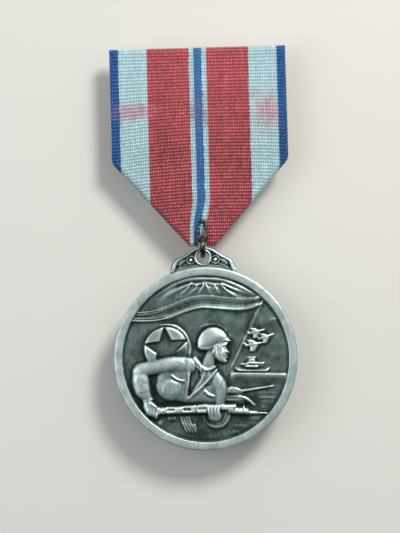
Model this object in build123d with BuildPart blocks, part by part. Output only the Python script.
from build123d import *
import os
from math import cos, radians, sin, sqrt

# A military service medal as it is worn. A struck disc hangs on a jump ring from a wire eye at
# the tip of a pentagonal ribbon. The ribbon is folded round a steel former, and the cover plate
# on its back carries a brooch pin that fastens the medal to a jacket.
# +Z is up, the front faces -Y, and +X is to the right of a person who faces the medal.
# The origin is the middle of the needle's straight part, on its axis. "Ahead" is a distance in
# front of that axis, towards -Y, and heights with "rise" are counted from the disc's centre.

# ---- driving dimensions, mm ----
ribbon_width = 34.0
ribbon_height = 38.6  # from the top fold to the blunt tip
side_height = 22.2  # of the two straight sides
tip_width = 5.0
cloth = 0.5  # thickness of one layer of ribbon
flap = 7.0  # how far the ribbon's ends are folded over the back
former_thickness = 1.0
plate_thickness = 0.5
plate_inset = 2.5  # from the top fold to the cover plate's edge
plate_slant_inset = 6.0  # the same from the slanted folds, so that their seam stays in sight

disc_diameter = 35.0
disc_thickness = 2.2
rim_width = 1.6
field_depth = 0.8  # from the rim down to the field, on the front
reverse_depth = 0.4  # the same on the reverse
relief_turn = -3.1  # degrees: the picture sits slightly turned against the lug
low_relief = 0.3  # heights of the picture above the field
mid_relief = 0.5
high_relief = 0.7
emblem_place = (-7.4, 1.9)
emblem_radius = 4.7
star_tip_radius = 4.4
star_notch_radius = 1.9
star_turn = 9  # degrees from upright

lug_half_width = 6.3
lug_thickness = 1.2
lug_hole_radius = 1.2
lug_hole_rise = 19.3
lug_top_rise = 21.4
lug_border_width = 0.35  # of the raised ring round the hole
lug_border_height = 0.2
bead_radius = 0.45

ring_wire = 1.0
ring_mean_radius = 1.65
eye_wire = 0.5
eye_half_width = 0.85  # from the middle to the centre of each leg
eye_height = 4.0
eye_stand_off = 0.8  # from the ribbon's face to the eye's mid-plane
ring_play = 0.05  # between the jump ring and the eye it hangs in
ring_lift = 0.4  # from the middle of the lug's hole to the bottom of the ring's wire circle
notch_rise = 23.8  # from the disc's centre to the top of the notch behind the ring
notch_half_width = 0.8

needle_radius = 0.4
needle_ahead_gap = 2.0  # from the needle's axis to the cover plate
needle_start = 10.0  # the straight part runs from here to needle_end along X
needle_end = -10.0
needle_point = -14.4
hinge_x = 11.7
hinge_radius = 0.5
hinge_play = 0.05
catch_x = -12.4
foot_thickness = 0.4  # of the hinge bracket and of the catch
foot_height = 4.4
foot_corner = 0.6
rivet_radius = 0.6

needle_to_top = 8.0
needle_to_disc = 52.2

# ---- worked-out places ----
top_z = needle_to_top
tip_z = top_z - ribbon_height
side_z = top_z - side_height
half_width = ribbon_width / 2
slope = (side_z - tip_z) / (half_width - tip_width / 2)
slant = sqrt(1 + slope**2)  # height gained by an inset line per mm of inset

plate_ahead = needle_ahead_gap
flap_ahead = plate_ahead + plate_thickness
former_ahead = flap_ahead + cloth
front_ahead = former_ahead + former_thickness
ribbon_ahead = front_ahead + cloth

eye_ahead = ribbon_ahead + eye_stand_off
disc_z = -needle_to_disc
disc_radius = disc_diameter / 2
disc_back_ahead = eye_ahead - disc_thickness / 2
disc_front_ahead = disc_back_ahead + disc_thickness
field_ahead = disc_front_ahead - field_depth

lug_hole_z = disc_z + lug_hole_rise
ring_z = lug_hole_z + ring_lift + ring_mean_radius
eye_z = ring_z + ring_mean_radius - ring_wire / 2 - ring_play - eye_wire / 2
notch_top_z = disc_z + notch_rise
slit_z = eye_z + eye_height


def pentagon(half, top_inset, slant_inset):
    """Corners of the ribbon's outline: sides at half, top and slanted folds moved inwards."""
    low_z = tip_z + slope * (half - tip_width / 2) + slant * slant_inset
    tip_half = tip_width / 2 - (slant - 1) * slant_inset / slope
    blunt_tip = [(tip_half, tip_z + slant_inset), (-tip_half, tip_z + slant_inset)]
    sharp_tip = [(0, low_z - slope * half)]
    return [
        (half, low_z),
        (half, top_z - top_inset),
        (-half, top_z - top_inset),
        (-half, low_z),
        *(reversed(blunt_tip) if tip_half > 0 else sharp_tip),
    ]


def finish(piece, name):
    """Label one piece and write its STEP file."""
    piece.part.label = name
    export_step(piece.part, f"parts/{name}.step")


os.makedirs("parts", exist_ok=True)
rivet_places = [(-12.0, -4.0), (12.0, -4.0), (-5.0, -12.5), (5.0, -12.5)]
foot_top = plate_ahead - foot_thickness

# ---- stitches over the seam where the two slanted flaps meet above the tip ----
stitch_count = 4
stitch_start = 0.5  # from the top of the notch to the lowest stitch
stitch_pitch = 0.9
stitch_length = 1.9
stitch_radius = 0.14
stitch_lean = 20
with BuildPart() as seam_stitches:
    for row in range(stitch_count):
        stitch_z = notch_top_z + stitch_start + row * stitch_pitch
        lean = stitch_lean if row % 2 else -stitch_lean
        across = (cos(radians(lean)), 0, sin(radians(lean)))
        middle = (0, -flap_ahead, stitch_z)
        with BuildSketch(Plane(origin=middle, z_dir=across)):
            Circle(stitch_radius)
        extrude(amount=stitch_length / 2, both=True)
finish(seam_stitches, "seam_stitches")

# ---- ribbon: two layers of cloth, joined by the top fold and the two slanted folds ----
fold_radius = 0.9
beyond = 1.0  # how far a cut runs past the edge it clears
layers = ribbon_ahead - flap_ahead
with BuildPart() as ribbon:
    with BuildSketch(Plane.XZ.offset(flap_ahead)):
        Polygon(*pentagon(half_width, 0, 0), align=None)
    extrude(amount=layers)
    folds = ribbon.edges().filter_by(lambda e: abs(e.tangent_at(0.5).Y) < 0.1)
    folds = folds.filter_by(lambda e: abs(e.tangent_at(0.5).Z) < 0.95)
    fillet(folds, fold_radius)
    with BuildSketch(Plane.XZ.offset(former_ahead)):
        Polygon(*pentagon(half_width + beyond, cloth, cloth), align=None)
    extrude(amount=former_thickness, mode=Mode.SUBTRACT)
    with BuildSketch(Plane.XZ.offset(flap_ahead)):
        Polygon(*pentagon(half_width + beyond, flap, flap), align=None)
    extrude(amount=cloth, mode=Mode.SUBTRACT)
    # the slit that the eye comes out of, and the notch that leaves the jump ring room
    with BuildSketch(Plane.XZ.offset(front_ahead)):
        with Locations((0, slit_z)):
            Rectangle(2 * eye_half_width, 2 * eye_wire)
    extrude(amount=cloth, mode=Mode.SUBTRACT)
    with BuildSketch(Plane.XZ.offset(flap_ahead)):
        with Locations((0, tip_z)):
            Rectangle(2 * notch_half_width, 2 * (notch_top_z - tip_z))
    extrude(amount=layers, mode=Mode.SUBTRACT)
    # the thread is pulled halfway into the cloth
    add(seam_stitches.part, mode=Mode.SUBTRACT)
finish(ribbon, "ribbon")

# ---- former: the steel plate that the ribbon is folded round ----
former_side_inset = 0.4  # from the ribbon's woven edges to the former
with BuildPart() as former_plate:
    with BuildSketch(Plane.XZ.offset(former_ahead)):
        Polygon(*pentagon(half_width - former_side_inset, cloth, cloth), align=None)
        with Locations((0, tip_z)):
            Rectangle(2 * notch_half_width, 2 * (notch_top_z - tip_z), mode=Mode.SUBTRACT)
        with Locations(*rivet_places):
            Circle(rivet_radius, mode=Mode.SUBTRACT)
    extrude(amount=former_thickness)
finish(former_plate, "former_plate")

# ---- cover plate over the folded ends ----
plate_side_inset = 2.0
plate_corner = 0.9
with BuildPart() as back_plate:
    with BuildSketch(Plane.XZ.offset(plate_ahead)) as plate_sketch:
        outline = pentagon(half_width - plate_side_inset, plate_inset, plate_slant_inset)
        Polygon(*outline, align=None)
        fillet(plate_sketch.vertices(), plate_corner)
        with Locations(*rivet_places):
            Circle(rivet_radius, mode=Mode.SUBTRACT)
    extrude(amount=plate_thickness)
finish(back_plate, "back_plate")

# ---- four domed rivets through the cover plate and the former ----
rivet_head_radius = 1.1
rivet_head_height = 0.5
rivet_head_round = 0.4
with BuildPart() as plate_rivets:
    with BuildSketch(Plane.XZ.offset(plate_ahead)):
        with Locations(*rivet_places):
            Circle(rivet_radius)
    extrude(amount=front_ahead - plate_ahead)
    with BuildSketch(Plane.XZ.offset(plate_ahead)):
        with Locations(*rivet_places):
            Circle(rivet_head_radius)
    extrude(amount=-rivet_head_height)
    rims = plate_rivets.faces().sort_by(Axis.Y)[-len(rivet_places):].edges()
    fillet(rims, rivet_head_round)
finish(plate_rivets, "plate_rivets")

# ---- wire eye: its two legs come out of the slit and meet in a round bottom ----
leg_spread = 0.4  # from the middle to each leg where it leaves the slit
waist_half_width = 0.8 * eye_half_width
waist_share = 0.75  # how far up the eye its legs start to bend back to the slit
with BuildPart() as suspension_eye:
    with BuildLine() as eye_path:
        low = eye_z + eye_half_width
        waist = eye_z + waist_share * eye_height
        Spline(
            (-leg_spread, -front_ahead, slit_z),
            (-waist_half_width, -eye_ahead, waist),
            (-eye_half_width, -eye_ahead, low),
            tangents=((0, -1, 0), (0, 0, -1)),
        )
        ThreePointArc(
            (-eye_half_width, -eye_ahead, low),
            (0, -eye_ahead, eye_z),
            (eye_half_width, -eye_ahead, low),
        )
        Spline(
            (eye_half_width, -eye_ahead, low),
            (waist_half_width, -eye_ahead, waist),
            (leg_spread, -front_ahead, slit_z),
            tangents=((0, 0, 1), (0, 1, 0)),
        )
    with BuildSketch(Plane(origin=(-leg_spread, -front_ahead, slit_z), z_dir=(0, -1, 0))):
        Circle(eye_wire / 2)
    sweep()
finish(suspension_eye, "suspension_eye")

# ---- jump ring: round wire in the YZ plane, with the thin gap where it was closed ----
gap_angle = 3
gap_place = 35  # degrees above the ring's rear
with BuildPart() as jump_ring:
    gap_y = -eye_ahead + ring_mean_radius * cos(radians(gap_place))
    gap_z = ring_z + ring_mean_radius * sin(radians(gap_place))
    across = (0, cos(radians(gap_place)), sin(radians(gap_place)))
    along = (0, -sin(radians(gap_place)), cos(radians(gap_place)))
    with BuildSketch(Plane(origin=(0, gap_y, gap_z), x_dir=across, z_dir=along)):
        Circle(ring_wire / 2)
    revolve(
        axis=Axis((0, -eye_ahead, ring_z), (1, 0, 0)),
        revolution_arc=360 - gap_angle,
    )
finish(jump_ring, "jump_ring")

# ---- lug: a scrolled bracket brazed to the top of the disc ----
lug_ahead = eye_ahead - lug_thickness / 2
lug_base_z = disc_z + sqrt(disc_radius**2 - lug_half_width**2)
arch_x = 1.85
arch_z = disc_z + 20.95
waist_x = 3.6
waist_z = disc_z + 19.8
shoulder_x = 5.4
shoulder_z = disc_z + 18.85
end_height = 0.9
end_z = lug_base_z + end_height
foot_middle_z = disc_z + sqrt(disc_radius**2 - lug_half_width**2 / 4)
bead_x = 2.35
bead_z = lug_hole_z - bead_radius
with BuildPart() as suspension_lug:
    with BuildSketch(Plane.XZ.offset(lug_ahead)):
        with BuildLine():
            Spline(
                (0, disc_z + lug_top_rise),
                (arch_x, arch_z),
                (waist_x, waist_z),
                (shoulder_x, shoulder_z),
                (lug_half_width, end_z),
                tangents=((1, 0), (0, -1)),
            )
            Line((lug_half_width, end_z), (lug_half_width, lug_base_z))
            ThreePointArc(
                (lug_half_width, lug_base_z),
                (lug_half_width / 2, foot_middle_z),
                (0, disc_z + disc_radius),
            )
            Line((0, disc_z + disc_radius), (0, disc_z + lug_top_rise))
        make_face()
        mirror(about=Plane.YZ)
    extrude(amount=lug_thickness)
    with BuildSketch(Plane.XZ.offset(lug_ahead + lug_thickness)):
        with Locations((0, lug_hole_z)):
            Circle(lug_hole_radius + lug_border_width)
        with Locations((-bead_x, bead_z), (bead_x, bead_z)):
            Circle(bead_radius)
    extrude(amount=lug_border_height)
    with BuildSketch(Plane.XZ.offset(lug_ahead)):
        with Locations((0, lug_hole_z)):
            Circle(lug_hole_radius)
    extrude(amount=lug_thickness + lug_border_height, mode=Mode.SUBTRACT)
finish(suspension_lug, "suspension_lug")

# ---- struck disc: rim, sunk field and a low picture in relief ----
step = 0.25  # the sloped shoulder between rim and field
level = (cos(radians(relief_turn)), 0, sin(radians(relief_turn)))
picture = Plane(origin=(0, -field_ahead, disc_z), x_dir=level, z_dir=(0, -1, 0))
star = []
for corner in range(10):
    star_radius = star_notch_radius if corner % 2 else star_tip_radius
    bearing = radians(90 + star_turn + 36 * corner)
    star.append((star_radius * cos(bearing), star_radius * sin(bearing)))
with BuildPart() as medal_disc:
    with BuildSketch(Plane(origin=(0, 0, disc_z), x_dir=(1, 0, 0), z_dir=(0, 0, 1))):
        with BuildLine():
            Polyline(
                (0, -disc_back_ahead - reverse_depth),
                (disc_radius - rim_width - step, -disc_back_ahead - reverse_depth),
                (disc_radius - rim_width, -disc_back_ahead),
                (disc_radius - step, -disc_back_ahead),
                (disc_radius, -disc_back_ahead - step),
                (disc_radius, -disc_front_ahead + step),
                (disc_radius - step, -disc_front_ahead),
                (disc_radius - rim_width, -disc_front_ahead),
                (disc_radius - rim_width - step, -field_ahead),
                (0, -field_ahead),
                close=True,
            )
        make_face()
    revolve(axis=Axis((0, 0, disc_z), (0, 1, 0)))
    # snow peak along the top of the field
    with BuildSketch(picture):
        with BuildLine():
            Spline((-9.4, 12.0), (-3.3, 15.0), (2.9, 14.8), (9.3, 12.7))
            Line((9.3, 12.7), (-9.4, 12.0))
        make_face()
    extrude(amount=low_relief)
    # banner that blows to the left from its pole
    with BuildSketch(picture):
        with BuildLine():
            Spline((-14.2, 8.5), (-7.6, 9.6), (-1.0, 11.8), (7.0, 11.4), (10.9, 12.1))
            Line((10.9, 12.1), (10.1, 10.5))
            Spline((10.1, 10.5), (6.0, 9.5), (-1.0, 9.8), (-7.4, 7.7), (-14.8, 7.0))
            Line((-14.8, 7.0), (-14.2, 8.5))
        make_face()
    extrude(amount=mid_relief)
    with BuildSketch(picture):
        with BuildLine():
            Polyline((10.9, 12.1), (4.2, -1.7), (4.6, -1.8), (11.2, 11.9), close=True)
        make_face()
    extrude(amount=low_relief)
    # round emblem with a sunk five-pointed star
    with BuildSketch(picture):
        with Locations(emblem_place):
            Circle(emblem_radius)
            Polygon(*star, align=None, mode=Mode.SUBTRACT)
    extrude(amount=low_relief)
    # ship on the horizon, and a gun turret in front of it
    with BuildSketch(picture):
        with Locations((9.9, -3.0)):
            RectangleRounded(10.4, 0.7, 0.3)
        with Locations((8.9, -2.0)):
            RectangleRounded(6.6, 0.6, 0.25)
        with Locations((9.0, -0.9)):
            RectangleRounded(3.6, 0.6, 0.25)
        with Locations((5.9, -5.8)):
            Ellipse(1.5, 0.6)
    extrude(amount=low_relief)
    # soldier: back, bent arm and body, then the head under its helmet
    with BuildSketch(picture):
        with BuildLine():
            Polyline(
                (-14.0, -1.2),
                (-12.0, -0.2),
                (-3.0, 0.4),
                (1.9, -1.6),
                (4.3, -5.0),
                (3.7, -9.0),
                (-9.0, -9.0),
                (-10.4, -10.2),
                (-11.6, -8.4),
                (-14.0, -3.0),
                close=True,
            )
        make_face()
    extrude(amount=mid_relief)
    with BuildSketch(picture):
        with Locations((0.6, -0.4)):
            Rectangle(2.6, 2.6)
        with Locations((2.2, 1.4)):
            Ellipse(1.8, 2.4)
    extrude(amount=mid_relief)
    with BuildSketch(picture):
        with Locations((1.2, 3.6)):
            Ellipse(2.7, 2.6)
            Rectangle(8, 1.6, align=(Align.CENTER, Align.MAX), mode=Mode.SUBTRACT)
    extrude(amount=high_relief)
    # the gun that the soldier holds, with its round drum
    with BuildSketch(picture):
        with Locations((-0.6, -9.8)):
            RectangleRounded(16.8, 1.5, 0.5)
        with Locations((9.6, -10.2)):
            Rectangle(4.0, 0.3)
        with Locations((1.9, -10.8)):
            Circle(2.3)
    extrude(amount=high_relief)
finish(medal_disc, "medal_disc")

# ---- hinge bracket on the cover plate: a foot and two ears for the pin's eye ----
hinge_foot_length = 4.6
eye_half_thickness = 0.6
ear_gap = 0.05
ear_thickness = 0.5
ear_radius = 1.3
ear_inner = eye_half_thickness + ear_gap
ear_outer = ear_inner + ear_thickness
with BuildPart() as hinge_bracket:
    with BuildSketch(Plane.XZ.offset(foot_top)):
        with Locations((hinge_x, 0)):
            RectangleRounded(hinge_foot_length, foot_height, foot_corner)
    extrude(amount=foot_thickness)
    for ear_low in (-ear_outer, ear_inner):
        with BuildSketch(Plane.XY.offset(ear_low)):
            with Locations((hinge_x, 0)):
                Circle(ear_radius)
                Rectangle(2 * ear_radius, foot_top, align=(Align.CENTER, Align.MAX))
                Circle(hinge_radius, mode=Mode.SUBTRACT)
        extrude(amount=ear_thickness)
finish(hinge_bracket, "hinge_bracket")

# ---- hinge rivet through both ears ----
head_radius = 0.85
head_thickness = 0.35
head_round = 0.25
with BuildPart() as hinge_rivet:
    with BuildSketch(Plane.XY.offset(-ear_outer)):
        with Locations((hinge_x, 0)):
            Circle(hinge_radius)
    extrude(amount=2 * ear_outer)
    for side in (1, -1):
        with BuildSketch(Plane.XY.offset(side * ear_outer)):
            with Locations((hinge_x, 0)):
                Circle(head_radius)
        extrude(amount=side * head_thickness)
    levels = hinge_rivet.edges().group_by(Axis.Z)
    fillet(levels[0] + levels[-1], head_round)
finish(hinge_rivet, "hinge_rivet")

# ---- brooch pin: a flat eye, a tapered neck, the straight needle and its point ----
hub_radius = 1.25
neck_radius = 0.6
neck_start = hinge_x - 0.9
point_radius = 0.1
with BuildPart() as brooch_pin:
    with BuildSketch(Plane.XY.offset(-eye_half_thickness)):
        with Locations((hinge_x, 0)):
            Circle(hub_radius)
            Circle(hinge_radius + hinge_play, mode=Mode.SUBTRACT)
    extrude(amount=2 * eye_half_thickness)
    with BuildSketch(Plane.XZ):
        with BuildLine():
            Polyline(
                (neck_start, 0),
                (neck_start, neck_radius),
                (needle_start, needle_radius),
                (needle_end, needle_radius),
                (needle_point, point_radius),
                (needle_point, 0),
                close=True,
            )
        make_face()
    revolve(axis=Axis.X)
finish(brooch_pin, "brooch_pin")

# ---- catch: a foot and a round hook, open to the back, that the needle's point rests in ----
catch_foot_length = 3.4
hook_width = 1.6
hook_outer = 1.0
hook_inner = 0.5
hook_stem = 0.9
mouth_angle = radians(42)  # half of the mouth
reach = 1.6 * hook_outer  # the wedge that opens the mouth reaches past the hook
mouth_corner = (reach * cos(mouth_angle), reach * sin(mouth_angle))
with BuildPart() as pin_catch:
    with BuildSketch(Plane.XZ.offset(foot_top)):
        with Locations((catch_x, 0)):
            RectangleRounded(catch_foot_length, foot_height, foot_corner)
    extrude(amount=foot_thickness)
    with BuildSketch(Plane.YZ.offset(catch_x - hook_width / 2)):
        Circle(hook_outer)
        Rectangle(foot_top, hook_stem, align=(Align.MAX, Align.CENTER))
        Circle(hook_inner, mode=Mode.SUBTRACT)
        wedge = [(0, 0), mouth_corner, (mouth_corner[0], -mouth_corner[1])]
        Polygon(*wedge, align=None, mode=Mode.SUBTRACT)
    extrude(amount=hook_width)
finish(pin_catch, "pin_catch")
